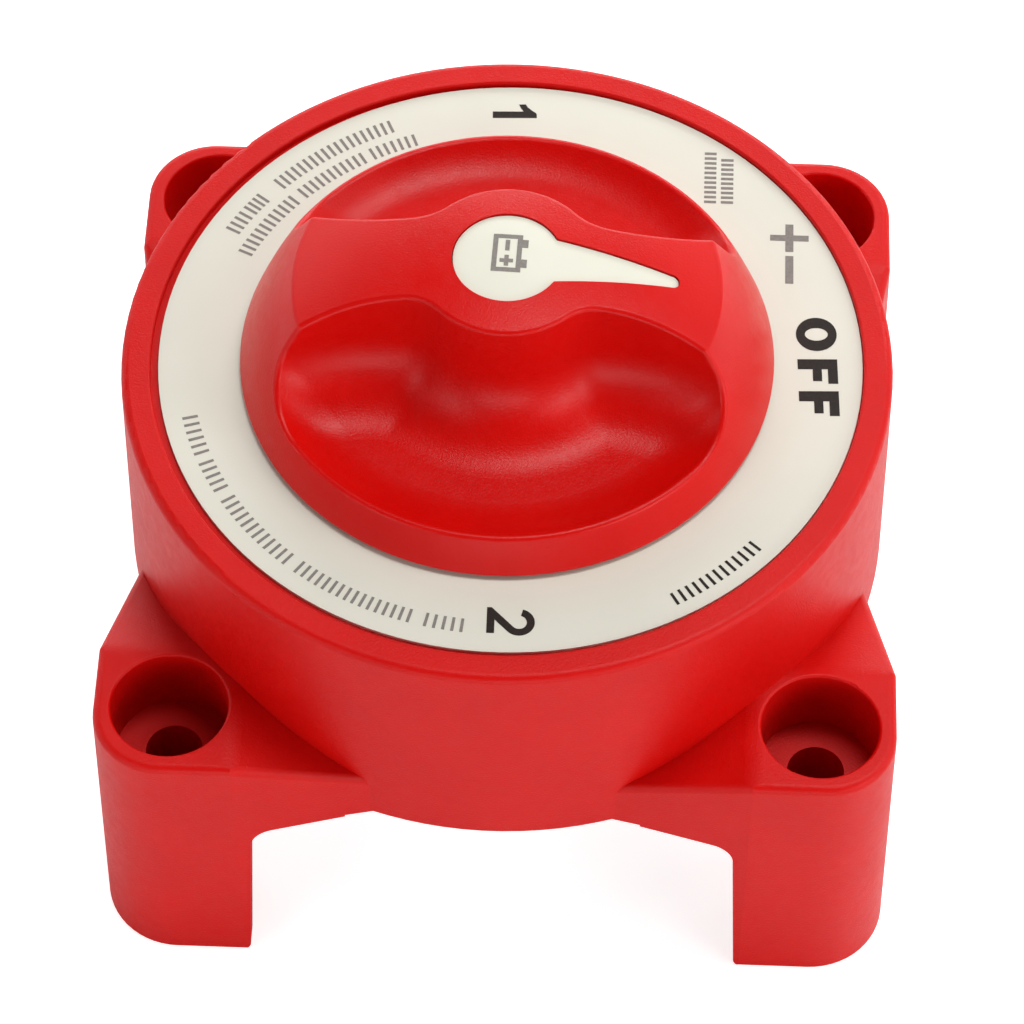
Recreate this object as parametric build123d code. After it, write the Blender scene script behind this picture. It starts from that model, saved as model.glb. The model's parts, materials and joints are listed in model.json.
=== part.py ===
from build123d import *
import os
from math import atan, cos, pi, radians, sin, sqrt, tan

# Battery selector switch, 1 - OFF - 2, for surface mounting. Millimetres.
# The origin is the centre of the mounting plane under the four feet, +Z points up to the knob,
# +X points to the OFF mark, +Y to the 1 mark and -Y to the 2 mark.

# ---- driving dimensions -------------------------------------------------------------------------
base_half = 49.5            # half of the square footprint at the mounting plane
draft = 1.33                # degrees, all outer walls widen towards the mounting plane
leg_top_z = 41.7            # flat tops of the legs
body_low_z = 28.4           # lower edge of the round body, above the cable space
rim_z = 61.7                # top of the round body's rim
rim_r = 47.06               # outer radius at the rim
lip_r = 43.5                # inner radius of the rim, where the dial lies
seat_z = 60.6               # floor under the dial
dial_thick = 0.5
dial_r = 42.95
dial_shift_x = 0.4          # the dial lies a little off centre in its recess
dial_shift_y = 0.2
deck_thick = 3.4
hole_pitch = 78.6           # between mounting screws, both ways
hole_r = 3.5
counterbore_r = 7.15
counterbore_z = 31.3
corner_r = 9.5              # of the footprint
leg_wall = 2.8
foot_x = 30.66              # inner ends of a leg's walls, at the mounting plane
foot_lean = 2.6             # degrees, they lean towards the body
arch_z = 27.2               # the skirt between leg and body ends here, above the foot
pillar_r = 6.3
gusset_x = 31.3             # the legs' flat tops end here and the gussets slope down from them
crease_r = 6.0              # rounds that crease, from crease_low_y outwards
crease_low_y = 33.0
gap = 0.3                   # between parts that move past each other
run_fit = 0.05              # radial clearance of shafts in their bores

knob_low_z = 61.5
knob_low_r = 32.7
knob_edge_z = 76.0          # upper end of the knob's sloped side
knob_edge_r = 25.6
knob_top_z = 81.4
well_wall_z = 66.0          # the wells' outer wall has well_wall_r at this height
well_wall_r = 32.55
well_floor_z = 64.4
well_floor_fillet = 9.0
well_taper = 4.0            # degrees
hub_r = 10.9
waist_x = 12.8              # the grip bar is narrowest here
waist_half = 6.1
bar_side_r = 36.0
rest_turn = -2.0            # degrees, the knob stands this far from its OFF mark, within the play

shaft_r = 6.0
shaft_square = 8.4          # across the flats of the shaft's square ends
boss_r = 9.0
boss_low_z = 51.0
stud_r = 4.76               # 3/8 in stud, over its thread
stud_pitch_r = 4.25         # its plain shank, and its thread where the nut holds it
stud_low_z = 4.0
stud_place = 24.0           # stud axes lie this far from the knob's axis

# ---- heights and radii that follow --------------------------------------------------------------
deck_low_z = seat_z - deck_thick
base_low_z = body_low_z + 0.4
base_top_z = base_low_z + 5.0
base_r = 44.4
cavity_r = 43.0
crown_r = (knob_edge_r**2 + (knob_top_z - knob_edge_z) ** 2) / (2 * (knob_top_z - knob_edge_z))
bus_top_z = base_top_z + 2.5
pad_top_z = bus_top_z + 1.3
blade_low_z = pad_top_z + gap + 0.8
blade_top_z = blade_low_z + 2.2
carrier_top_z = 48.9
base_screw_place = 39.5     # base screws stand on the diagonals, this far from the axis
base_screw_r = 2.0
base_screw_top_z = 46.0
screw_boss_r = 4.5
gasket_inner_r = 43.3
gasket_thick = 0.8
carrier_low_z = 43.0
tower_top_z = 52.5
tower_r = 5.0
plunger_r = 2.8
plunger_place = 16.0        # distance of the plungers' axes from the knob's axis
plunger_low_z = 49.0
spring_seat_z = 45.5        # the plungers' springs stand on this
spring_top_z = 46.4         # upper end of the blade's spring
blade_spring_x = 12.0
clip_low_z = 49.55
clip_thick = 0.8
clip_groove_r = 5.2
knob_web_top_z = 76.5       # the knob screw's head bears here
washer_thick = 1.6
lock_thick = 2.2
nut_high = 8.2
nut_corner_r = 8.25
nut_low_z = body_low_z - washer_thick - lock_thick - nut_high
detent_ring_low_z = 54.7
plunger_top_z = detent_ring_low_z - gap
dimple_r = 3.8
dimple_deep = 1.0
stud_places = {"one": (0.0, stud_place), "two": (0.0, -stud_place), "common": (-stud_place, 0.0)}
ALIGN_LOW = (Align.CENTER, Align.CENTER, Align.MIN)
QUARTERS = (0, 90, 180, 270)
SIDES = {"left": 1, "right": -1}


def outer_half(z):
    """Half width of the square footprint at height z."""
    return base_half - z * tan(radians(draft))


def body_r(z):
    """Outer radius of the round body at height z."""
    return rim_r + (rim_z - z) * tan(radians(draft))


def rod(radius, low, high, x=0.0, y=0.0):
    return Pos(x, y, low) * Cylinder(radius, high - low, align=ALIGN_LOW)


def tube(outer, inner, low, high, x=0.0, y=0.0):
    return rod(outer, low, high, x, y) - rod(inner, low - 1, high + 1, x, y)


def block(x0, x1, y0, y1, z0, z1):
    box = Box(x1 - x0, y1 - y0, z1 - z0, align=(Align.MIN, Align.MIN, Align.MIN))
    return Pos(x0, y0, z0) * box


def turned(*points):
    """Solid of revolution about Z from (radius, height) points."""
    return revolve(Plane.XZ * Polygon(*points, align=None), Axis.Z)


def at_rest(part):
    """The rotor's pieces stand at the rest turn."""
    return Rot(0, 0, rest_turn) * part


# ---- housing ------------------------------------------------------------------------------------
def prism_xz(*points):
    """Prism along +Y of an (x, z) outline."""
    return extrude(Plane.XZ * Polygon(*points, align=None), 80, dir=(0, 1, 0))


def crease_round(slope):
    """Tool that rounds the crease between a leg's flat top and its gusset, along +Y."""
    half_turn = atan(slope) / 2
    reach = crease_r * tan(half_turn)
    low_x = gusset_x - reach * cos(2 * half_turn)
    low_z = leg_top_z - reach * sin(2 * half_turn)
    mid_x = gusset_x + reach - crease_r * sin(half_turn)
    mid_z = leg_top_z - crease_r * (1 - cos(half_turn))
    arc = ThreePointArc((low_x, low_z), (mid_x, mid_z), (gusset_x + reach, leg_top_z))
    over = Polyline((gusset_x + reach, leg_top_z), (gusset_x + reach, leg_top_z + 2), (low_x, leg_top_z + 2))
    outline = Plane.XZ * make_face([arc, over, Line((low_x, leg_top_z + 2), (low_x, low_z))])
    return Pos(0, crease_low_y, 0) * extrude(outline, 40, dir=(0, 1, 0))


def footprint_block(inset, height):
    """Square footprint with rounded corners and drafted sides, inset from the outer walls."""
    half = base_half - inset
    return extrude(RectangleRounded(2 * half, 2 * half, corner_r - inset), height, taper=draft)


def skirt():
    """Prism along +Y over a leg's wall and over the skirt that joins it to the round body."""
    arch_x = foot_x - arch_z * tan(radians(foot_lean))
    start_x = 14.0
    top = body_low_z + 1
    outline = Polyline(
        (start_x, top), (start_x, body_low_z), (arch_x, arch_z), (foot_x, 0), (60, 0), (60, top), close=True
    )
    outline = make_face(outline)
    arch = outline.vertices().filter_by(lambda v: abs(v.X - arch_x) < 0.01)
    outline = fillet(arch, 2.8)
    foot = outline.vertices().filter_by(lambda v: abs(v.X - foot_x) < 0.01)
    outline = fillet(foot, 1.3)
    return extrude(Plane.XZ * outline, 80, dir=(0, 1, 0))


def screw_pillar():
    """Tube round the mounting screw with ribs to the leg's two walls, still without its bore."""
    place = hole_pitch / 2
    top = body_low_z + 1
    end = base_half - 0.5 * leg_wall
    pillar = rod(pillar_r, 0, top, place, place)
    pillar += block(place, end, place - 1, place + 1, 2, top)
    pillar += block(place - 1, place + 1, place, end, 2, top)
    return pillar


def leg():
    """Hollow leg with its two sloped gussets, in the +X +Y corner."""
    end_x, end_y, end_z = 15.5, 45.2, 35.5
    root_x = 11.0
    slope = (leg_top_z - end_z) / (gusset_x - end_x)
    sweep = (outer_half(leg_top_z) - end_y) / (gusset_x - end_x)
    root_z = leg_top_z - slope * (gusset_x - root_x)
    outside = footprint_block(0, leg_top_z)
    outside = fillet(outside.edges().group_by(Axis.Z)[-1], 1.0)
    outside = fillet(outside.edges().group_by(Axis.Z)[0], 0.6)
    flat = block(gusset_x, 60, gusset_x, 60, body_low_z, leg_top_z + 1)
    web = prism_xz((root_x, body_low_z), (gusset_x, body_low_z), (gusset_x, leg_top_z), (root_x, root_z))
    web -= block(0, 60, 0, 25, 0, 60)
    along = Vector(-1, -sweep, 0)
    outwards = along.cross(Vector(0, -tan(radians(draft)), 1))
    side = Plane(origin=(gusset_x, outer_half(leg_top_z), leg_top_z), x_dir=along, z_dir=outwards)
    side_cut = side * Box(160, 160, 30, align=ALIGN_LOW)
    diagonal = Plane(origin=(0, 0, 0), z_dir=(1, -1, 0))
    front = skirt()
    walls = (outside - footprint_block(leg_wall, body_low_z + 1)) & front & mirror(front, diagonal)
    leg = (outside & (flat + web + mirror(web, diagonal))) + walls
    leg = leg - side_cut - mirror(side_cut, diagonal)

    sloped = leg.edges().filter_by(lambda e: e.length > 20 and 36 < e.center().Z < 39)
    leg = fillet(sloped, 1.0)
    crease = crease_round(slope)
    return leg - crease - mirror(crease, diagonal) + screw_pillar()


def round_body():
    """Drafted round body with the dial's recess, still solid inside."""
    body = turned((0, body_low_z), (body_r(body_low_z), body_low_z), (rim_r, rim_z), (0, rim_z))
    body = fillet(body.edges().filter_by(GeomType.CIRCLE).group_by(Axis.Z)[-1], 1.0)
    body = fillet(body.edges().filter_by(GeomType.CIRCLE).group_by(Axis.Z)[0], 0.5)
    body -= rod(lip_r, seat_z, rim_z + 1)
    lip = body.edges().filter_by(GeomType.CIRCLE).filter_by(lambda e: abs(e.center().Z - rim_z) < 0.01)
    return fillet(lip.sort_by(lambda e: e.length)[0], 0.3)


def screw_place(turn):
    """Axis of the base screw at this quarter, on the diagonal."""
    angle = radians(45 + turn)
    return base_screw_place * cos(angle), base_screw_place * sin(angle)


def housing():
    body = round_body()
    corner = leg()
    for turn in QUARTERS:
        body += Rot(0, 0, turn) * corner
    body -= rod(base_r + gap, -1, base_top_z)
    body -= tube(base_r + gap, gasket_inner_r - gap, base_top_z, base_top_z + gasket_thick)
    hollow = rod(cavity_r, base_top_z - 1, deck_low_z)
    hollow -= rod(boss_r, boss_low_z, deck_low_z)
    for turn in QUARTERS:
        x, y = screw_place(turn)
        hollow -= rod(screw_boss_r, base_top_z, deck_low_z, x, y)
        corner_x = hole_pitch / 2 * (1 if turn in (0, 270) else -1)
        corner_y = hole_pitch / 2 * (1 if turn in (0, 90) else -1)
        body -= rod(counterbore_r, counterbore_z, leg_top_z + 1, corner_x, corner_y)
        body -= rod(hole_r, -1, counterbore_z + 1, corner_x, corner_y)
    hollow = fillet(hollow.edges().filter_by(GeomType.CIRCLE).group_by(Axis.Z)[-1], 1.0)
    body -= hollow
    for turn in QUARTERS:
        x, y = screw_place(turn)
        body -= rod(base_screw_r, base_top_z - 1, base_screw_top_z + 1, x, y)
    body -= rod(shaft_r + run_fit, boss_low_z - 1, rim_z)
    rims = body.edges().filter_by(GeomType.CIRCLE)
    rims = rims.filter_by(lambda e: abs(e.center().Z - leg_top_z) < 0.01)
    rims = rims.filter_by(lambda e: abs(e.radius - counterbore_r) < 0.01)
    return fillet(rims, 0.35)


def dial_label():
    """Printed ring that lies in the housing's recess."""
    ring = tube(dial_r, shaft_r + 3, seat_z, seat_z + dial_thick)
    return Pos(dial_shift_x, dial_shift_y, 0) * ring


# ---- knob ---------------------------------------------------------------------------------------
def under_crown(depth):
    """Solid below the knob's crowned top, lowered by depth."""
    return Pos(0, 0, knob_top_z - depth - crown_r) * Sphere(crown_r)


def well_outline():
    """Plan of the front finger well where it is widest, above the knob."""
    spread = (knob_top_z - well_wall_z) * tan(radians(well_taper))
    outer = well_wall_r + spread
    side_y = -(waist_half + bar_side_r)

    def side(x):
        return side_y + sqrt(bar_side_r**2 - (abs(x) - waist_x) ** 2)

    hub_x = 8.9
    hub_y = -sqrt(hub_r**2 - hub_x**2)
    end_x = 31.3
    end_y = -sqrt(outer**2 - end_x**2)
    mid_x = 19.0
    hub = ThreePointArc((-hub_x, hub_y), (0, -hub_r), (hub_x, hub_y))
    right = ThreePointArc((hub_x, hub_y), (mid_x, side(mid_x)), (end_x, end_y))
    rim = ThreePointArc((end_x, end_y), (0, -outer), (-end_x, end_y))
    left = ThreePointArc((-end_x, end_y), (-mid_x, side(mid_x)), (-hub_x, hub_y))
    outline = make_face([hub, right, rim, left])
    corners = outline.vertices().group_by(Axis.X)
    outline = fillet([corners[0][0], corners[-1][0]], 6.5)
    inner = outline.vertices().filter_by(lambda v: abs(abs(v.X) - hub_x) < 0.01)
    return fillet(inner, 6.5)


def finger_well():
    """Front finger well: it narrows downwards and its floor is rounded into its walls."""
    depth = knob_top_z - well_floor_z
    well = extrude(Plane.XY.offset(knob_top_z) * well_outline(), -depth, taper=well_taper)
    return fillet(well.edges().group_by(Axis.Z)[0], well_floor_fillet)


def knob_blank():
    """Turned outside of the knob: sloped side and crowned top."""
    bulge = 0.5
    slope = sqrt((knob_low_r - knob_edge_r) ** 2 + (knob_edge_z - knob_low_z) ** 2)
    side_x = (knob_low_r + knob_edge_r) / 2 + bulge * (knob_edge_z - knob_low_z) / slope
    side_z = (knob_low_z + knob_edge_z) / 2 + bulge * (knob_low_r - knob_edge_r) / slope
    mid_r = knob_edge_r / 2
    mid_z = knob_top_z - crown_r + sqrt(crown_r**2 - mid_r**2)
    outline = [
        Line((0, knob_low_z), (knob_low_r, knob_low_z)),
        ThreePointArc((knob_low_r, knob_low_z), (side_x, side_z), (knob_edge_r, knob_edge_z)),
        ThreePointArc((knob_edge_r, knob_edge_z), (mid_r, mid_z), (0, knob_top_z)),
        Line((0, knob_top_z), (0, knob_low_z)),
    ]
    blank = revolve(Plane.XZ * make_face(outline), Axis.Z)
    rings = blank.edges().filter_by(lambda e: e.is_closed).sort_by(Axis.Z)
    blank = fillet(rings[-1], 0.9)
    return fillet(blank.edges().filter_by(lambda e: e.is_closed).sort_by(Axis.Z)[0], 0.4)


def pointer_outline():
    """Teardrop: a disc with a tapered finger towards the dial marks."""
    disc_r = 6.45
    tip_r = 0.85
    tip_x = 19.55
    root_x = 3.0
    root_half = 3.55
    finger = Polygon((root_x, -root_half), (tip_x, -tip_r), (tip_x, tip_r), (root_x, root_half), align=None)
    outline = Circle(disc_r) + finger + Pos(tip_x, 0) * Circle(tip_r)
    necks = outline.vertices().filter_by(lambda v: 5 < v.X < 8)
    return fillet(necks, 0.4)


def core_pocket():
    """Hollow under one half of the grip bar, open below, that keeps the walls thin."""
    half = 3.6
    pocket = block(hub_r + 1.5, 40, -half, half, knob_low_z - 1, 72.5)
    pocket &= turned((0, knob_low_z - 1), (29.0, knob_low_z - 1), (24.0, 72.5), (0, 72.5))
    return fillet(pocket.edges().filter_by(lambda e: e.length > 8 and abs(e.center().Z - 66.5) < 1), 0.8)


def knob():
    body = knob_blank()
    well = finger_well()
    body -= well
    body -= Rot(0, 0, 180) * well
    rims = body.edges().filter_by(lambda e: e.center().Z > well_floor_z + 0.5)
    rims = rims.filter_by(lambda e: e.geom_type not in (GeomType.CIRCLE, GeomType.LINE))
    body = fillet(rims, 0.6)
    recess = extrude(offset(pointer_outline(), 0.12), 90, dir=(0, 0, 1)) - under_crown(1.8)
    body -= recess
    half = shaft_square / 2 + 0.03
    body -= block(-half, half, -half, half, knob_low_z - 1, 72)
    body -= rod(2.2, 71, 77)
    body -= rod(3.9, knob_web_top_z, knob_top_z)
    pocket = core_pocket()
    body -= pocket
    body -= Rot(0, 0, 180) * pocket
    return body


def pointer_insert():
    insert = extrude(pointer_outline(), 90, dir=(0, 0, 1))
    return (insert & under_crown(0.3)) - under_crown(1.7)


def pan_screw(head_r, head_high, shank_r, shank_long):
    """Pan-head screw standing on its head's underside at z = 0, the shank below."""
    head = rod(head_r, 0, head_high)
    head = fillet(head.edges().filter_by(GeomType.CIRCLE).sort_by(Axis.Z)[-1], 0.45 * head_high)
    cross = block(-0.5, 0.5, -0.6 * head_r, 0.6 * head_r, 0.45 * head_high, head_high + 1)
    cross += Rot(0, 0, 90) * cross
    shank = rod(shank_r, -shank_long, 0.01)
    shank = chamfer(shank.edges().filter_by(GeomType.CIRCLE).sort_by(Axis.Z)[0], 0.4)
    return head - cross + shank


def knob_screw():
    return Pos(0, 0, knob_web_top_z) * pan_screw(3.4, 2.3, 1.95, 14)


# ---- shaft and rotor ----------------------------------------------------------------------------
def drive_shaft():
    """Round in the housing's bore, square in the knob above and in the carrier below."""
    half = shaft_square / 2
    shaft = rod(shaft_r, carrier_top_z, knob_low_z - 0.3)
    shaft += block(-half, half, -half, half, carrier_low_z + 0.6, 71.8)
    shaft -= tube(shaft_r + 1, 4.9, 57.6, 59.0)
    shaft -= tube(shaft_r + 1, clip_groove_r, clip_low_z - 0.05, clip_low_z + clip_thick + 0.05)
    return shaft - rod(2.0, 61.5, 72)


def shaft_o_ring():
    return Pos(0, 0, 58.3) * Torus(5.46, 0.52)


def thrust_washer():
    return tube(8.8, shaft_r + 0.15, clip_low_z + clip_thick + 0.1, boss_low_z - 0.2)


def retaining_clip():
    """Open ring in the shaft's groove, with two eyes for pliers."""
    high = clip_low_z + clip_thick
    clip = tube(7.9, clip_groove_r + 0.05, clip_low_z, high)
    for side in (1, -1):
        clip += rod(1.5, clip_low_z, high, -8.0, side * 2.7)
    clip -= block(-12, -4, -1.4, 1.4, clip_low_z - 1, high + 1)
    for side in (1, -1):
        clip -= rod(0.6, clip_low_z - 1, high + 1, -8.2, side * 2.8)
    return clip


def contact_carrier():
    """Insulating rotor: disc with two plunger towers and an arm that houses the blade."""
    arm = block(-10, 40, -10, 10, 39.6, carrier_top_z - 1) & rod(33, 39, carrier_top_z)
    arm = fillet(arm.edges().filter_by(Axis.Z), 1.2)
    disc = rod(21.5, carrier_low_z, carrier_top_z)
    towers = [rod(tower_r, carrier_low_z, tower_top_z, 0, side * plunger_place) for side in (1, -1)]
    carrier = disc + arm + towers
    carrier -= block(-8.2, 31, -7.4, 7.4, 39, blade_top_z + 1.7)
    carrier -= rod(4.9, 39, spring_top_z, blade_spring_x)
    half = shaft_square / 2 + 0.03
    carrier -= block(-half, half, -half, half, blade_top_z, tower_top_z)
    for side in (1, -1):
        carrier -= rod(plunger_r + run_fit, spring_seat_z, tower_top_z + 1, 0, side * plunger_place)
    return carrier


def rounded_pad(radius, low, high, x, y, end):
    """Rivet head with one rim rounded: end is 0 for its lower rim and -1 for its upper one."""
    pad = rod(radius, low, high, x, y)
    return fillet(pad.edges().filter_by(GeomType.CIRCLE).sort_by(Axis.Z)[end], 0.45)


def contact_blade():
    """Heavy copper bridge between the centre contact and one terminal."""
    blade = block(-7.5, 30.2, -6.9, 6.9, blade_low_z, blade_top_z)
    return fillet(blade.edges().filter_by(Axis.Z), 3.0)


def blade_contact_pads():
    """Silver rivet heads under the blade."""
    low = blade_low_z - 0.8
    near = rounded_pad(4.5, low, blade_low_z, 0, 0, 0)
    far = rounded_pad(5.0, low, blade_low_z, stud_place, 0, 0)
    return Compound([near, far])


def coil_spring(radius, wire_r, low, high, turns):
    """Compression spring between two faces, with a hair of room at both."""
    rise = high - low - 2 * wire_r - 0.1
    path = Helix(rise / turns, rise, radius)
    start = Plane(origin=path @ 0, z_dir=path % 0)
    return Pos(0, 0, low + wire_r + 0.05) * sweep(start * Circle(wire_r), path=path)


def contact_spring():
    return Pos(blade_spring_x, 0, 0) * coil_spring(3.9, 0.6, blade_top_z, spring_top_z, 3)


def detent_spring(side):
    return Pos(0, side * plunger_place, 0) * coil_spring(2.1, 0.3, spring_seat_z, plunger_low_z, 3.5)


def detent_plunger(side):
    """Round-nosed plunger that rides under the detent ring."""
    plunger = rod(plunger_r, plunger_low_z, plunger_top_z - plunger_r)
    plunger += Pos(0, 0, plunger_top_z - plunger_r) * Sphere(plunger_r)
    return Pos(0, side * plunger_place, 0) * plunger


def detent_ring():
    """Fixed ring around the boss: its underside has a dimple for each quarter."""
    ring = tube(21, boss_r + 1.3, detent_ring_low_z, deck_low_z)
    for turn in QUARTERS:
        dimple = Pos(plunger_place, 0, detent_ring_low_z + dimple_deep - dimple_r) * Sphere(dimple_r)
        ring -= Rot(0, 0, turn) * dimple
    return ring


# ---- base and terminals -------------------------------------------------------------------------
def terminal_base():
    """Insulating plate that closes the housing and carries the studs."""
    plate = rod(base_r, base_low_z, base_top_z)
    plate = fillet(plate.edges().filter_by(GeomType.CIRCLE).sort_by(Axis.Z)[0], 0.5)
    for x, y in stud_places.values():
        plate += rod(12, body_low_z, base_low_z + 1, x, y)
    for x, y in stud_places.values():
        plate -= rod(stud_pitch_r + 0.1, body_low_z - 1, base_top_z + 1, x, y)
    for turn in QUARTERS:
        x, y = screw_place(turn)
        plate -= rod(2.3, body_low_z, base_top_z + 1, x, y)
        plate -= rod(4.0, body_low_z, base_low_z + 2.4, x, y)
    return plate


def base_gasket():
    return tube(base_r - 0.1, gasket_inner_r, base_top_z, base_top_z + gasket_thick)


def base_screws():
    screw = Rot(180, 0, 0) * pan_screw(3.6, 2.2, base_screw_r - 0.05, 14)
    return Compound([Pos(*screw_place(turn), base_low_z + 2.4) * screw for turn in QUARTERS])


def terminal_stud(place, head_low):
    """Copper stud with a flat-sided head inside the switch."""
    x, y = place
    head = rod(8, head_low, head_low + 2.5) & block(-6.8, 6.8, -9, 9, head_low, head_low + 2.5)
    thread = rod(stud_r, stud_low_z, nut_low_z - 0.1)
    thread = chamfer(thread.edges().filter_by(GeomType.CIRCLE).sort_by(Axis.Z)[0], 0.7)
    return Pos(x, y, 0) * (head + thread + rod(stud_pitch_r, stud_low_z + 1, head_low + 1))


def common_bus_bar():
    """Copper bar from the common stud to the centre contact."""
    bar = block(-stud_place - 8, 7, -7, 7, base_top_z, bus_top_z)
    bar = fillet(bar.edges().filter_by(Axis.Z), 3.0)
    return bar - rod(stud_pitch_r + 0.05, base_top_z - 1, bus_top_z + 1, -stud_place)


def fixed_contact_pads():
    """Silver rivet heads on the bus bar and on the heads of studs one and two."""
    places = [(0.0, 0.0), stud_places["one"], stud_places["two"]]
    return Compound([rounded_pad(5.3, bus_top_z, pad_top_z, x, y, -1) for x, y in places])


def at_studs(piece):
    """One copy of the piece on each terminal stud."""
    return Compound([Pos(x, y, 0) * piece for x, y in stud_places.values()])


def flat_washer():
    washer = tube(10.4, 5.0, body_low_z - washer_thick, body_low_z)
    return fillet(washer.edges().filter_by(GeomType.CIRCLE).filter_by(lambda e: e.radius > 10), 0.3)


def lock_washer():
    """Split spring washer."""
    high = body_low_z - washer_thick
    ring = tube(8.2, 5.0, high - lock_thick, high)
    cut = Rot(25, 0, 0) * Box(20, 0.9, 20, align=(Align.MIN, Align.CENTER, Align.CENTER))
    return ring - Pos(0, 0, high - lock_thick / 2) * cut


def stud_nut():
    """Hexagon nut, its corners turned off at both ends."""
    low = nut_low_z
    high = nut_low_z + nut_high
    nut = extrude(Plane.XY.offset(low) * RegularPolygon(nut_corner_r, 6), nut_high)
    off = 1.1
    turned_r = nut_corner_r * cos(pi / 6)
    wide_r = turned_r + 2
    outline = [(0, low), (turned_r, low), (wide_r, low + off), (wide_r, high - off), (turned_r, high), (0, high)]
    nut &= turned(*outline)
    return nut - rod(stud_pitch_r + 0.04, low - 1, high + 1)


def build():
    """Every node of the switch, by name."""
    nodes = {
        "housing": housing(),
        "dial_label": dial_label(),
        "detent_ring": detent_ring(),
        "terminal_base": terminal_base(),
        "base_gasket": base_gasket(),
        "base_screws": base_screws(),
        "stud_one": terminal_stud(stud_places["one"], base_top_z),
        "stud_two": terminal_stud(stud_places["two"], base_top_z),
        "stud_common": terminal_stud(stud_places["common"], bus_top_z),
        "common_bus_bar": common_bus_bar(),
        "fixed_contact_pads": fixed_contact_pads(),
        "stud_flat_washers": at_studs(flat_washer()),
        "stud_lock_washers": at_studs(lock_washer()),
        "stud_nuts": at_studs(stud_nut()),
    }
    rotor = {
        "knob": knob(),
        "pointer_insert": pointer_insert(),
        "knob_screw": knob_screw(),
        "drive_shaft": drive_shaft(),
        "shaft_o_ring": shaft_o_ring(),
        "thrust_washer": thrust_washer(),
        "retaining_clip": retaining_clip(),
        "contact_carrier": contact_carrier(),
        "contact_blade": contact_blade(),
        "blade_contact_pads": blade_contact_pads(),
        "contact_spring": contact_spring(),
    }
    for name, side in SIDES.items():
        rotor["detent_plunger_" + name] = detent_plunger(side)
        rotor["detent_spring_" + name] = detent_spring(side)
    for name, piece in rotor.items():
        nodes[name] = at_rest(piece)
    return nodes


os.makedirs("parts", exist_ok=True)
for node, solid in build().items():
    export_step(solid, "parts/" + node + ".step")
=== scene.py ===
"""Looks of a 1 - OFF - 2 battery selector switch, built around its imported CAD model. Metres.

The origin is the centre of the mounting plane, +X points to the OFF mark, +Y to 1 and -Y to 2.
"""
import json
from math import ceil, cos, floor, hypot, pi, radians, sin, sqrt

import bmesh
import bpy
from mathutils import Matrix, Vector


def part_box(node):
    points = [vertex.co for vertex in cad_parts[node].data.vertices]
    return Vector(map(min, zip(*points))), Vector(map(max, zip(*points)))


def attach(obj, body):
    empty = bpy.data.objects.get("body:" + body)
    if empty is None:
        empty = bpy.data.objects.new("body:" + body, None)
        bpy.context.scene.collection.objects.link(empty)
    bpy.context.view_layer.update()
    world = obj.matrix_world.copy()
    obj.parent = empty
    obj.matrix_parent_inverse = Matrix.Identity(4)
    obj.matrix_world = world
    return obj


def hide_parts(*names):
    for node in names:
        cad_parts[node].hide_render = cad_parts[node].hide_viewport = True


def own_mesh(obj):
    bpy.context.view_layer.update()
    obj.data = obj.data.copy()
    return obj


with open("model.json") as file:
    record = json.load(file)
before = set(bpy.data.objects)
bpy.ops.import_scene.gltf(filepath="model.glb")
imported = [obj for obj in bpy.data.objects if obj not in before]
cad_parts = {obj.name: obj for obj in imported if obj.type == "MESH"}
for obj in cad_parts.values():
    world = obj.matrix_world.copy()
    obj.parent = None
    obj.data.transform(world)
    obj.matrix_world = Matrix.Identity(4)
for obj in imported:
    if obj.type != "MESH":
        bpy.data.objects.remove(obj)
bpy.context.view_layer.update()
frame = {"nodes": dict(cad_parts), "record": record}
nodes = frame["nodes"]

# ---- sizes --------------------------------------------------------------------------------------
MM = 0.001
LABEL_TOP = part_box("dial_label")[1].z
INSERT_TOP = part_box("pointer_insert")[1].z
KNOB_CROWN_R = 63.4 * MM
INK_SUNK = 0.02 * MM
INK_PROUD = 0.03 * MM
REST_TURN = radians(-2.0)           # the knob stands this far from its OFF mark
LABEL_TURN = radians(2.0)           # the label is stuck on a little askew
TICK_WIDTH = 0.36                   # graduations, in millimetres as all printed marks are

STUD_R = 4.76 * MM
STUD_ROOT_R = 3.95 * MM
STUD_SHANK_R = 4.25 * MM
THREAD_PITCH = 25.4 / 16 * MM
STUD_HEAD_HIGH = 2.5 * MM
STUD_HEAD_BEVEL = 0.25 * MM
STUD_CHAMFER = 0.7 * MM
THREAD_ABOVE_NUTS = 2 * MM
THREAD_RUN_OUT = 0.3 * MM

CAMERA_LENS = 151.9                 # mm, on a sensor 36 mm wide
CAMERA_YAW = radians(2.055)
CAMERA_ELEVATION = radians(55.227)
CAMERA_ROLL = radians(0.165)
CAMERA_TARGET = Vector((1.07, -11.66, 45.0)) * MM
CAMERA_DISTANCE = 533.9 * MM

LIGHT_TARGET = Vector((0, 0, 0.05))
WORLD_LIGHT = 0.08
FLOOR_GLOW = 0.72
FLOOR_Z = -0.05 * MM
BOUNCE_Z = -0.10 * MM


# ---- camera, floor and lights -------------------------------------------------------------------
def camera_frame(yaw, elevation, roll):
    """Rotation and viewing direction of a camera that looks along +Y, turned left and tilted down."""
    forward = Vector((-sin(yaw) * cos(elevation), cos(yaw) * cos(elevation), -sin(elevation)))
    right = forward.cross(Vector((0, 0, 1))).normalized()
    up = right.cross(forward)
    rolled_right = right * cos(roll) + up * sin(roll)
    rolled_up = up * cos(roll) - right * sin(roll)
    return Matrix((rolled_right, rolled_up, -forward)).transposed(), forward


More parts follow.
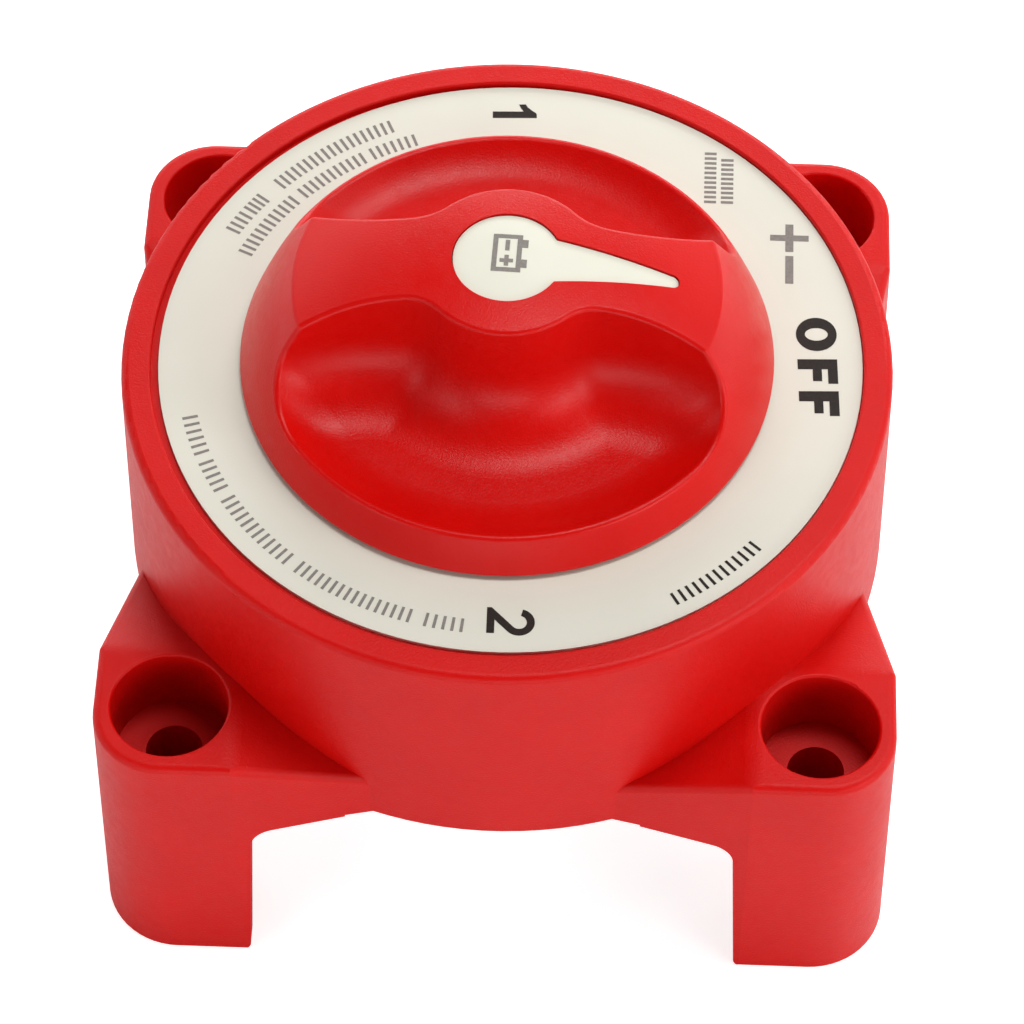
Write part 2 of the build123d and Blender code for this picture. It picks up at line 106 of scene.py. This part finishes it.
def add_camera():
    data = bpy.data.cameras.new("camera")
    data.sensor_width = 36
    data.lens = CAMERA_LENS
    camera = bpy.data.objects.new("camera", data)
    rotation, forward = camera_frame(CAMERA_YAW, CAMERA_ELEVATION, CAMERA_ROLL)
    place = CAMERA_TARGET - forward * CAMERA_DISTANCE
    camera.matrix_world = Matrix.Translation(place) @ rotation.to_4x4()
    data.clip_start = 0.01
    data.clip_end = 20
    bpy.context.scene.collection.objects.link(camera)
    bpy.context.scene.camera = camera


def add_plane(name, z, glow):
    """Large matt white plane at height z that gives off light of strength glow."""
    half = 3.0
    mesh = bpy.data.meshes.new(name)
    corners = [(-half, -half, z), (half, -half, z), (half, half, z), (-half, half, z)]
    mesh.from_pydata(corners, [], [(0, 1, 2, 3)])
    plane = bpy.data.objects.new(name, mesh)
    bpy.context.scene.collection.objects.link(plane)
    material, tree, shader = new_material(name)
    shader.inputs["Base Color"].default_value = (0.93, 0.93, 0.93, 1)
    shader.inputs["Roughness"].default_value = 0.9
    shader.inputs["Specular IOR Level"].default_value = 0.1
    shader.inputs["Emission Color"].default_value = (1, 1, 1, 1)
    shader.inputs["Emission Strength"].default_value = glow
    mesh.materials.append(material)
    return plane


def add_floor():
    """The floor that is seen is lit up to white; the one that lights the object from below isn't."""
    seen = add_plane("floor", FLOOR_Z, FLOOR_GLOW)
    seen.visible_diffuse = False
    seen.visible_glossy = False
    seen.visible_shadow = False
    bounce = add_plane("floor_bounce", BOUNCE_Z, 0.0)
    bounce.visible_camera = False


def add_area_light(name, place, size, power):
    """Rectangular soft light that faces the middle of the object."""
    data = bpy.data.lights.new(name, "AREA")
    data.shape = "RECTANGLE"
    data.size, data.size_y = size
    data.energy = power
    light = bpy.data.objects.new(name, data)
    light.location = place
    light.rotation_mode = "QUATERNION"
    light.rotation_quaternion = (LIGHT_TARGET - light.location).to_track_quat("-Z", "Y")
    bpy.context.scene.collection.objects.link(light)


SOFTBOXES = {
    # name: (place, size) in metres and power in watts
    "back_low": ((0, 1.05, 0.45), (1.0, 0.4), 8.6),
    "back_left": ((-0.75, 0.7, 0.5), (0.5, 0.5), 2.1),
    "back_right": ((0.75, 0.7, 0.5), (0.5, 0.5), 1.4),
    "key_top": ((0.13, 0.17, 1.1), (0.3, 0.3), 4.3),
    "top_right": ((0.4, 0.2, 1.0), (0.25, 0.25), 2.0),
    "right_high": ((0.8, 0, 0.75), (0.45, 0.45), 1.6),
    "right": ((1.05, 0.05, 0.35), (0.45, 0.45), 1.9),
    "left": ((-1.05, 0.05, 0.35), (0.45, 0.45), 1.7),
    "front_left": ((-0.75, -0.75, 0.4), (0.45, 0.45), 2.1),
    "front_right": ((0.75, -0.75, 0.4), (0.45, 0.45), 2.0),
    "front_right_low": ((0.85, -0.55, 0.3), (0.3, 0.3), 1.9),
    "front_low": ((0, -1.1, 0.1), (0.9, 0.15), 3.1),
}


def add_lights():
    for name, (place, size, power) in SOFTBOXES.items():
        add_area_light(name, place, size, power)
    world = bpy.data.worlds.new("studio")
    world.use_nodes = True
    background = world.node_tree.nodes["Background"]
    background.inputs["Color"].default_value = (1, 1, 1, 1)
    background.inputs["Strength"].default_value = WORLD_LIGHT
    bpy.context.scene.world = world


# ---- materials ----------------------------------------------------------------------------------
def new_material(name):
    material = bpy.data.materials.new(name)
    material.use_nodes = True
    return material, material.node_tree, material.node_tree.nodes["Principled BSDF"]


def noise(tree, size, detail=2.0, roughness=0.5, stretch=(1, 1, 1)):
    """Noise whose features are about size metres wide, stretched along an axis if wanted."""
    coordinates = tree.nodes.new("ShaderNodeTexCoord")
    mapping = tree.nodes.new("ShaderNodeMapping")
    mapping.inputs["Scale"].default_value = [1 / (size * s) for s in stretch]
    texture = tree.nodes.new("ShaderNodeTexNoise")
    texture.inputs["Scale"].default_value = 1.0
    texture.inputs["Detail"].default_value = detail
    texture.inputs["Roughness"].default_value = roughness
    tree.links.new(coordinates.outputs["Object"], mapping.inputs["Vector"])
    tree.links.new(mapping.outputs["Vector"], texture.inputs["Vector"])
    return texture.outputs["Fac"]


def ranged(tree, value, low, high, from_low=0.3, from_high=0.7):
    """Maps a noise value's useful middle range to low..high."""
    node = tree.nodes.new("ShaderNodeMapRange")
    node.inputs["From Min"].default_value = from_low
    node.inputs["From Max"].default_value = from_high
    node.inputs["To Min"].default_value = low
    node.inputs["To Max"].default_value = high
    tree.links.new(value, node.inputs["Value"])
    return node.outputs["Result"]


def coloured(tree, shader, factor, dark, light):
    """Gives the shader a colour between dark and light, by factor."""
    node = tree.nodes.new("ShaderNodeMix")
    node.data_type = "RGBA"
    node.inputs["A"].default_value = (*dark, 1)
    node.inputs["B"].default_value = (*light, 1)
    tree.links.new(factor, node.inputs["Factor"])
    tree.links.new(node.outputs["Result"], shader.inputs["Base Color"])


def roughened(tree, shader, value, low, high):
    """Lets the shader's roughness wander between low and high with a noise value."""
    tree.links.new(ranged(tree, value, low, high), shader.inputs["Roughness"])


def bumped(tree, shader, layers):
    """Stacks bumps on the shader's normal: each layer is a height output and its depth in metres."""
    normal = None
    for height, depth in layers:
        bump = tree.nodes.new("ShaderNodeBump")
        bump.inputs["Strength"].default_value = 1.0
        bump.inputs["Distance"].default_value = depth
        tree.links.new(height, bump.inputs["Height"])
        if normal is not None:
            tree.links.new(normal, bump.inputs["Normal"])
        normal = bump.outputs["Normal"]
    tree.links.new(normal, shader.inputs["Normal"])


def moulded_plastic(name, dark, light, rough, grain_size, grain_depth, ior=1.5):
    """Moulded plastic: a fine spark-eroded grain over slightly wavy faces."""
    material, tree, shader = new_material(name)
    shade = ranged(tree, noise(tree, 9 * MM, detail=3), 0, 1)
    coloured(tree, shader, shade, dark, light)
    roughened(tree, shader, noise(tree, 1.4 * MM, detail=4), rough - 0.03, rough + 0.05)
    shader.inputs["IOR"].default_value = ior
    shader.inputs["Specular IOR Level"].default_value = 0.20
    waves = noise(tree, 14 * MM, detail=1)
    grain = noise(tree, grain_size, detail=3, roughness=0.6)
    bumped(tree, shader, [(waves, 0.03 * MM), (grain, grain_depth)])
    return material


def turned_metal(name, dark, light, rough, streak=(1, 1, 0.06)):
    """Machined or drawn metal with fine tool marks round its axis."""
    material, tree, shader = new_material(name)
    shader.inputs["Metallic"].default_value = 1.0
    tone = ranged(tree, noise(tree, 5 * MM, detail=4), 0, 1)
    coloured(tree, shader, tone, dark, light)
    marks = noise(tree, 1.2 * MM, detail=4, stretch=streak)
    roughened(tree, shader, marks, rough - 0.07, rough + 0.1)
    bumped(tree, shader, [(marks, 0.004 * MM)])
    return material


def printed_film(name, dark, light):
    """Satin polyester film with a barely visible matt texture."""
    material, tree, shader = new_material(name)
    tone = ranged(tree, noise(tree, 12 * MM, detail=2), 0, 1)
    coloured(tree, shader, tone, dark, light)
    roughened(tree, shader, noise(tree, 0.5 * MM), 0.42, 0.52)
    bumped(tree, shader, [(noise(tree, 0.35 * MM, detail=3), 0.0015 * MM)])
    return material


def ink(name, dark, light):
    """Screen-printed ink, a little uneven in its cover."""
    material, tree, shader = new_material(name)
    cover = ranged(tree, noise(tree, 0.4 * MM, detail=3), 0, 1)
    coloured(tree, shader, cover, dark, light)
    roughened(tree, shader, noise(tree, 0.8 * MM), 0.45, 0.6)
    shader.inputs["Specular IOR Level"].default_value = 0.15
    bumped(tree, shader, [(noise(tree, 0.3 * MM), 0.001 * MM)])
    return material


def rubber(name):
    """Dull black rubber."""
    material, tree, shader = new_material(name)
    tone = ranged(tree, noise(tree, 2 * MM, detail=4), 0, 1)
    coloured(tree, shader, tone, (0.012, 0.012, 0.012), (0.03, 0.03, 0.03))
    roughened(tree, shader, noise(tree, 0.6 * MM), 0.6, 0.8)
    bumped(tree, shader, [(noise(tree, 0.2 * MM, detail=3), 0.006 * MM)])
    return material


def filled_thermoset(name):
    """Glass-filled black moulding: short fibres show as faint paler flecks."""
    material, tree, shader = new_material(name)
    fibres = ranged(tree, noise(tree, 0.5 * MM, detail=5, stretch=(1, 0.25, 1)), 0, 1, 0.45, 0.8)
    coloured(tree, shader, fibres, (0.013, 0.013, 0.014), (0.05, 0.05, 0.052))
    roughened(tree, shader, noise(tree, 1.1 * MM, detail=4), 0.34, 0.55)
    bumped(tree, shader, [(noise(tree, 8 * MM), 0.04 * MM), (noise(tree, 0.25 * MM, detail=4), 0.006 * MM)])
    return material


MATERIALS = {
    "red_housing": moulded_plastic(
        "red_housing", (0.565, 0.0018, 0.0010), (0.605, 0.0027, 0.0014), 0.40, 0.26 * MM, 0.055 * MM
    ),
    "red_knob": moulded_plastic(
        "red_knob", (0.56, 0.0020, 0.0011), (0.60, 0.0030, 0.0016), 0.32, 0.26 * MM, 0.036 * MM
    ),
    "cream_label": printed_film("cream_label", (0.665, 0.66, 0.565), (0.69, 0.685, 0.59)),
    "cream_insert": moulded_plastic(
        "cream_insert", (0.70, 0.69, 0.585), (0.73, 0.72, 0.615), 0.40, 0.3 * MM, 0.002 * MM
    ),
    "stainless": turned_metal("stainless", (0.50, 0.50, 0.49), (0.66, 0.66, 0.65), 0.26),
    "white_nylon": moulded_plastic(
        "white_nylon", (0.74, 0.72, 0.66), (0.82, 0.80, 0.75), 0.45, 0.5 * MM, 0.004 * MM, ior=1.53
    ),
    "black_rubber": rubber("black_rubber"),
    "copper": turned_metal("copper", (0.66, 0.30, 0.17), (0.80, 0.40, 0.25), 0.30),
    "silver": turned_metal("silver", (0.78, 0.77, 0.74), (0.88, 0.87, 0.85), 0.24),
    "tinned_copper": turned_metal("tinned_copper", (0.62, 0.61, 0.57), (0.76, 0.75, 0.71), 0.32),
    "black_base": filled_thermoset("black_base"),
    "bold_ink": ink("bold_ink", (0.016, 0.011, 0.009), (0.026, 0.018, 0.015)),
    "pale_ink": ink("pale_ink", (0.20, 0.18, 0.165), (0.25, 0.225, 0.205)),
}


def dress_nodes():
    """Every CAD node takes the material of its slot in the record."""
    for part in frame["record"]["subparts"]:
        mesh = nodes[part["node"]].data
        mesh.materials.clear()
        mesh.materials.append(MATERIALS[part["material_slot"]])


def piece_from(form, name, material):
    """Turns a bmesh into an object with one material."""
    mesh = bpy.data.meshes.new(name)
    form.to_mesh(mesh)
    form.free()
    mesh.materials.append(material)
    piece = bpy.data.objects.new(name, mesh)
    bpy.context.scene.collection.objects.link(piece)
    return piece


# ---- printed marks, drawn in millimetres --------------------------------------------------------
def arc(centre, radius, start, end, steps):
    """Points along an arc, angles in degrees."""
    turns = [radians(start + (end - start) * i / steps) for i in range(steps + 1)]
    return [(centre[0] + radius * cos(t), centre[1] + radius * sin(t)) for t in turns]


def ellipse(half_wide, half_high, centre):
    steps = 64
    turns = [2 * pi * i / steps for i in range(steps)]
    return [(centre[0] + half_wide * cos(t), centre[1] + half_high * sin(t)) for t in turns]


def glyph_one():
    """Upright stem with a flag that curves into its top, 2.2 wide and 5.6 high."""
    flag = [(0.5, 4.48), (0.98, 4.95), (1.42, 5.5), (1.7, 5.6)]
    return [[(0, 3.35), (0, 4.2), *flag, (2.22, 5.6), (2.22, 0), (1.17, 0), (1.17, 3.93), (0.6, 3.6)]]


def glyph_two():
    """Round bowl that runs straight down to the foot, 3.9 wide and 5.6 high."""
    bowl = (2.03, 3.8)
    outer = arc(bowl, 1.85, 167, -45.9, 30)
    inner = arc(bowl, 0.92, -45.9, 167, 24)
    foot_high = 0.92
    return [[(0, 0), (0, 0.55), *inner, *outer, (1.72, foot_high), (3.6, foot_high), (3.6, 0)]]


def glyph_o():
    centre = (2.54, 2.45)
    return [ellipse(2.54, 2.5, centre), ellipse(0.98, 1.4, centre)]


def glyph_f():
    stem, width, arm_end = 1.5, 3.7, 3.3
    top, top_low, arm_top, arm_low = 4.85, 3.65, 2.92, 1.8
    right_side = [(width, top), (width, top_low), (stem, top_low), (stem, arm_top), (arm_end, arm_top)]
    return [[(0, 0), (0, top), *right_side, (arm_end, arm_low), (stem, arm_low), (stem, 0)]]


def bar(u0, u1, v0, v1):
    """Rectangle between two corners."""
    return [(u0, v0), (u0, v1), (u1, v1), (u1, v0)]


def plus_sign(arm, half, centre=(0, 0)):
    """Plus sign whose arms end arm from its centre and are twice half thick."""
    x, y = centre
    return [
        (x - half, y - arm), (x - half, y - half), (x - arm, y - half), (x - arm, y + half),
        (x - half, y + half), (x - half, y + arm), (x + half, y + arm), (x + half, y + half),
        (x + arm, y + half), (x + arm, y - half), (x + half, y - half), (x + half, y - arm),
    ]


def moved(loops, du, dv=0.0):
    return [[(u + du, v + dv) for u, v in loop] for loop in loops]


def upright(loops, centre, turn):
    """Puts the middle of (right, up) loops at centre on the dial, their tops turned by turn from +X."""
    us = [u for loop in loops for u, v in loop]
    vs = [v for loop in loops for u, v in loop]
    centred = moved(loops, -(min(us) + max(us)) / 2, -(min(vs) + max(vs)) / 2)
    x, y = centre
    right_x, right_y = sin(turn), -cos(turn)
    up_x, up_y = cos(turn), sin(turn)
    return [[(x + u * right_x + v * up_x, y + u * right_y + v * up_y) for u, v in loop] for loop in centred]


def dense(loops, step):
    """Adds points along the loops, step millimetres apart, so that a print follows a crowned surface."""
    filled = []
    for loop in loops:
        points = []
        for (x0, y0), (x1, y1) in zip(loop, loop[1:] + loop[:1]):
            count = ceil(hypot(x1 - x0, y1 - y0) / step)
            points += [(x0 + (x1 - x0) * i / count, y0 + (y1 - y0) * i / count) for i in range(count)]
        filled.append(points)
    return filled


def printed(name, loops, body, material, height):
    """Thin layer of ink in the shape of the loops (millimetres), on the surface height(x, y)."""
    form = bmesh.new()
    for loop in loops:
        corners = [form.verts.new((x * MM, y * MM, 0)) for x, y in loop]
        for a, b in zip(corners, corners[1:] + corners[:1]):
            form.edges.new((a, b))
    bmesh.ops.triangle_fill(form, use_beauty=True, edges=form.edges[:], normal=(0, 0, 1))
    flat = form.faces[:]
    made = bmesh.ops.extrude_face_region(form, geom=flat)
    raised = {part for part in made["geom"] if isinstance(part, bmesh.types.BMVert)}
    for vertex in form.verts:
        surface = height(vertex.co.x, vertex.co.y)
        vertex.co.z = surface + (INK_PROUD if vertex in raised else -INK_SUNK)
    bmesh.ops.recalc_face_normals(form, faces=form.faces[:])
    piece = piece_from(form, name, material)
    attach(piece, body)


def on_label(x, y):
    """The label is flat."""
    return LABEL_TOP


def on_insert(x, y):
    """Height of the pointer insert's crowned top."""
    return INSERT_TOP - KNOB_CROWN_R + sqrt(KNOB_CROWN_R**2 - x * x - y * y)


def ticks(radius_low, radius_high, groups, pitch):
    """Radial graduations between two radii, in groups of (start, end) degrees."""
    middle = (radius_low + radius_high) / 2
    step = pitch / middle
    half = TICK_WIDTH / middle / 2
    loops = []
    for start, end in groups:
        count = max(1, round(abs(radians(end - start)) / step))
        for i in range(count + 1):
            turn = radians(start + (end - start) * i / count)
            corners = [
                (radius_low, turn - half), (radius_high, turn - half), (radius_high, turn + half),
                (radius_low, turn + half),
            ]
            loops.append([(r * cos(t), r * sin(t)) for r, t in corners])
    return loops


def tick_rows():
    """Two short straight rows of graduations beside the OFF mark."""
    pitch, half = 0.78, 0.19
    loops = []
    for x0, x1, y0, y1 in ((25.8, 27.35, 25.4, 32.2), (23.7, 25.2, 25.4, 33.2)):
        count = round((y1 - y0) / pitch)
        for i in range(count + 1):
            y = y0 + (y1 - y0) * i / count
            loops.append(bar(x0, x1, y - half, y + half))
    return loops


def polarity_marks():
    """A plus and a minus sign, one above the other."""
    arm, half = 2.4, 0.5
    middle_x, plus_y, minus_y = 34.4, 20.0, 15.0
    flatter = 0.9
    plus = [(middle_x + x, plus_y + y * flatter) for x, y in plus_sign(arm, half)]
    minus = [(middle_x + x, minus_y + y * flatter) for x, y in bar(-half, half, -arm, arm)]
    return [plus, minus]


def battery_pictogram():
    """Outlined battery with two posts and a plus and a minus inside, 5.6 wide and 4.2 high."""
    wide, high, post_high = 5.6, 3.5, 4.2
    posts = ((0.7, 1.9), (3.7, 4.9))
    outside = [(0, 0), (0, high)]
    for left, right in posts:
        outside += [(left, high), (left, post_high), (right, post_high), (right, high)]
    outside += [(wide, high), (wide, 0)]
    wall = 0.6
    inside = bar(wall, wide - wall, wall, high - wall)
    arm, half = 0.8, 0.26
    minus_u, plus_u, middle_v = 1.65, 3.95, high / 2
    plus = plus_sign(arm, half, (plus_u, middle_v))
    minus = bar(minus_u - arm, minus_u + arm, middle_v - half, middle_v + half)
    return [outside, inside, plus, minus]


def add_position_marks():
    """The generic 1, OFF and 2, in the places that the knob points to."""
    bold = MATERIALS["bold_ink"]
    one = upright(glyph_one(), (-0.54, 39.2), LABEL_TURN)
    two = upright(glyph_two(), (1.92, -38.43), LABEL_TURN / 4)
    off = glyph_o() + moved(glyph_f(), 6.36) + moved(glyph_f(), 11.2)
    printed("mark_1", one, "body", bold, on_label)
    printed("mark_2", two, "body", bold, on_label)
    printed("mark_off", upright(off, (37.89, 0.2), LABEL_TURN), "body", bold, on_label)


def add_scales():
    """Plain graduations where the real label carries small print."""
    bold, pale = MATERIALS["bold_ink"], MATERIALS["pale_ink"]
    outer_left = ticks(38.5, 40.5, ((114.2, 138.5), (143.0, 146.5), (148.0, 152.0)), 0.95)
    inner_left = ticks(35.4, 37.3, ((111.0, 120.0), (122.3, 137.0), (139.5, 155.5)), 0.95)
    lower_groups = ((195.4, 203.3), (205.7, 211.8), (214.5, 231.0), (233.7, 255.3), (258.3, 264.5))
    lower_left = ticks(38.4, 40.3, lower_groups, 1.0)
    lower_right = ticks(39.5, 41.3, ((-58.6, -41.2),), 1.0)
    printed("scale_upper_left", outer_left + inner_left, "body", pale, on_label)
    printed("scale_lower_left", lower_left, "body", pale, on_label)
    printed("scale_lower_right", lower_right, "body", bold, on_label)
    printed("scale_upper_right", tick_rows(), "body", pale, on_label)


def add_symbols():
    """Polarity marks on the label and a battery pictogram on the knob's pointer."""
    pale = MATERIALS["pale_ink"]
    printed("polarity_marks", polarity_marks(), "body", pale, on_label)
    follow_step = 0.4
    pictogram = dense(upright(battery_pictogram(), (0.3, 0.6), REST_TURN), follow_step)
    printed("battery_pictogram", pictogram, "rotor", pale, on_insert)


# ---- threaded studs -----------------------------------------------------------------------------
def thread_radius(z, turn, low, high):
    """Radius of the 60 degree thread at a height and angle, run out at its ends."""
    root_flat, flank = 0.12, 0.72       # shares of half a pitch
    tip_r = STUD_ROOT_R * 0.9
    phase = (z / THREAD_PITCH - turn / (2 * pi)) % 1.0
    ramp = min(1.0, max(0.0, (abs(phase - 0.5) * 2 - root_flat) / flank))
    radius = STUD_ROOT_R + (STUD_R - STUD_ROOT_R) * ramp
    end_limit = STUD_R - STUD_CHAMFER + (z - low)
    run_out = STUD_SHANK_R if z > high else STUD_R
    return min(radius, max(end_limit, tip_r), run_out)


def stud(name, replaced, thread_top):
    """Stud with a cut thread up to thread_top, a plain shank and a flat-sided head."""
    low_corner, high_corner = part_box(replaced)
    middle = (low_corner + high_corner) / 2
    low, high = low_corner.z, high_corner.z
    head_low = high - STUD_HEAD_HIGH
    columns = 64
    rows_per_turn = 12
    row_step = THREAD_PITCH / rows_per_turn
    rows = floor((thread_top - low) / row_step)
    heights = [low + i * row_step for i in range(rows + 1)]
    rings = []
    for z in heights:
        rings.append([thread_radius(z, 2 * pi * i / columns, low, thread_top) for i in range(columns)])
    heights += [thread_top + THREAD_RUN_OUT, head_low]
    rings += [[STUD_SHANK_R] * columns] * 2
    flat = (high_corner.x - low_corner.x) / 2
    head_r = (high_corner.y - low_corner.y) / 2
    head = []
    for i in range(columns):
        side = abs(cos(2 * pi * i / columns))
        head.append(min(head_r, flat / max(side, 0.001)))
    heights += [head_low, high - STUD_HEAD_BEVEL, high]
    rings += [head, head, [r - STUD_HEAD_BEVEL for r in head]]
    form = bmesh.new()
    loops = []
    for z, radii in zip(heights, rings):
        loop = []
        for i, r in enumerate(radii):
            turn = 2 * pi * i / columns
            loop.append(form.verts.new((middle.x + r * cos(turn), middle.y + r * sin(turn), z)))
        loops.append(loop)
    for lower, upper in zip(loops, loops[1:]):
        for i in range(columns):
            j = (i + 1) % columns
            form.faces.new((lower[i], lower[j], upper[j], upper[i]))
    form.faces.new(list(reversed(loops[0])))
    form.faces.new(loops[-1])
    piece = piece_from(form, name, MATERIALS["tinned_copper"])
    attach(piece, "body")
    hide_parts(replaced)


def add_studs():
    nut_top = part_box("stud_nuts")[1].z
    for name in ("one", "two", "common"):
        stud("threaded_stud_" + name, "stud_" + name, nut_top + THREAD_ABOVE_NUTS)


def spring(replaced, turns, wire_r):
    """Coil spring that fills the box of the part it replaces."""
    low_corner, high_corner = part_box(replaced)
    middle = (low_corner + high_corner) / 2
    coil_r = (high_corner.x - low_corner.x) / 2 - wire_r
    low = low_corner.z + wire_r
    rise = high_corner.z - wire_r - low
    sides = 12
    steps_per_turn = 40
    steps = round(steps_per_turn * turns)
    form = bmesh.new()
    rings = []
    for i in range(steps + 1):
        turn = 2 * pi * turns * i / steps
        outward = Vector((cos(turn), sin(turn), 0))
        along = Vector((-sin(turn) * coil_r, cos(turn) * coil_r, rise / (2 * pi * turns))).normalized()
        upward = outward.cross(along)
        centre = Vector((middle.x, middle.y, low + rise * i / steps)) + outward * coil_r
        ring = []
        for j in range(sides):
            around = 2 * pi * j / sides
            ring.append(form.verts.new(centre + (outward * cos(around) + upward * sin(around)) * wire_r))
        rings.append(ring)
    for first, second in zip(rings, rings[1:]):
        for j in range(sides):
            k = (j + 1) % sides
            form.faces.new((first[j], first[k], second[k], second[j]))
    form.faces.new(rings[0])
    form.faces.new(rings[-1])
    bmesh.ops.recalc_face_normals(form, faces=form.faces[:])
    for face in form.faces:
        face.smooth = len(face.verts) == 4
    piece = piece_from(form, replaced + "_coil", MATERIALS["stainless"])
    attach(piece, "rotor")
    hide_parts(replaced)
    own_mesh(piece)


def add_springs():
    """A coil spring for the blade and one for each plunger, each in its part's place."""
    spring("contact_spring", 3, 0.6 * MM)
    for side in ("left", "right"):
        node = "detent_spring_" + side
        spring(node, 3.5, 0.3 * MM)


bpy.context.scene.view_settings.view_transform = "Standard"
add_camera()
add_floor()
add_lights()
dress_nodes()
add_position_marks()
add_scales()
add_symbols()
add_studs()
add_springs()
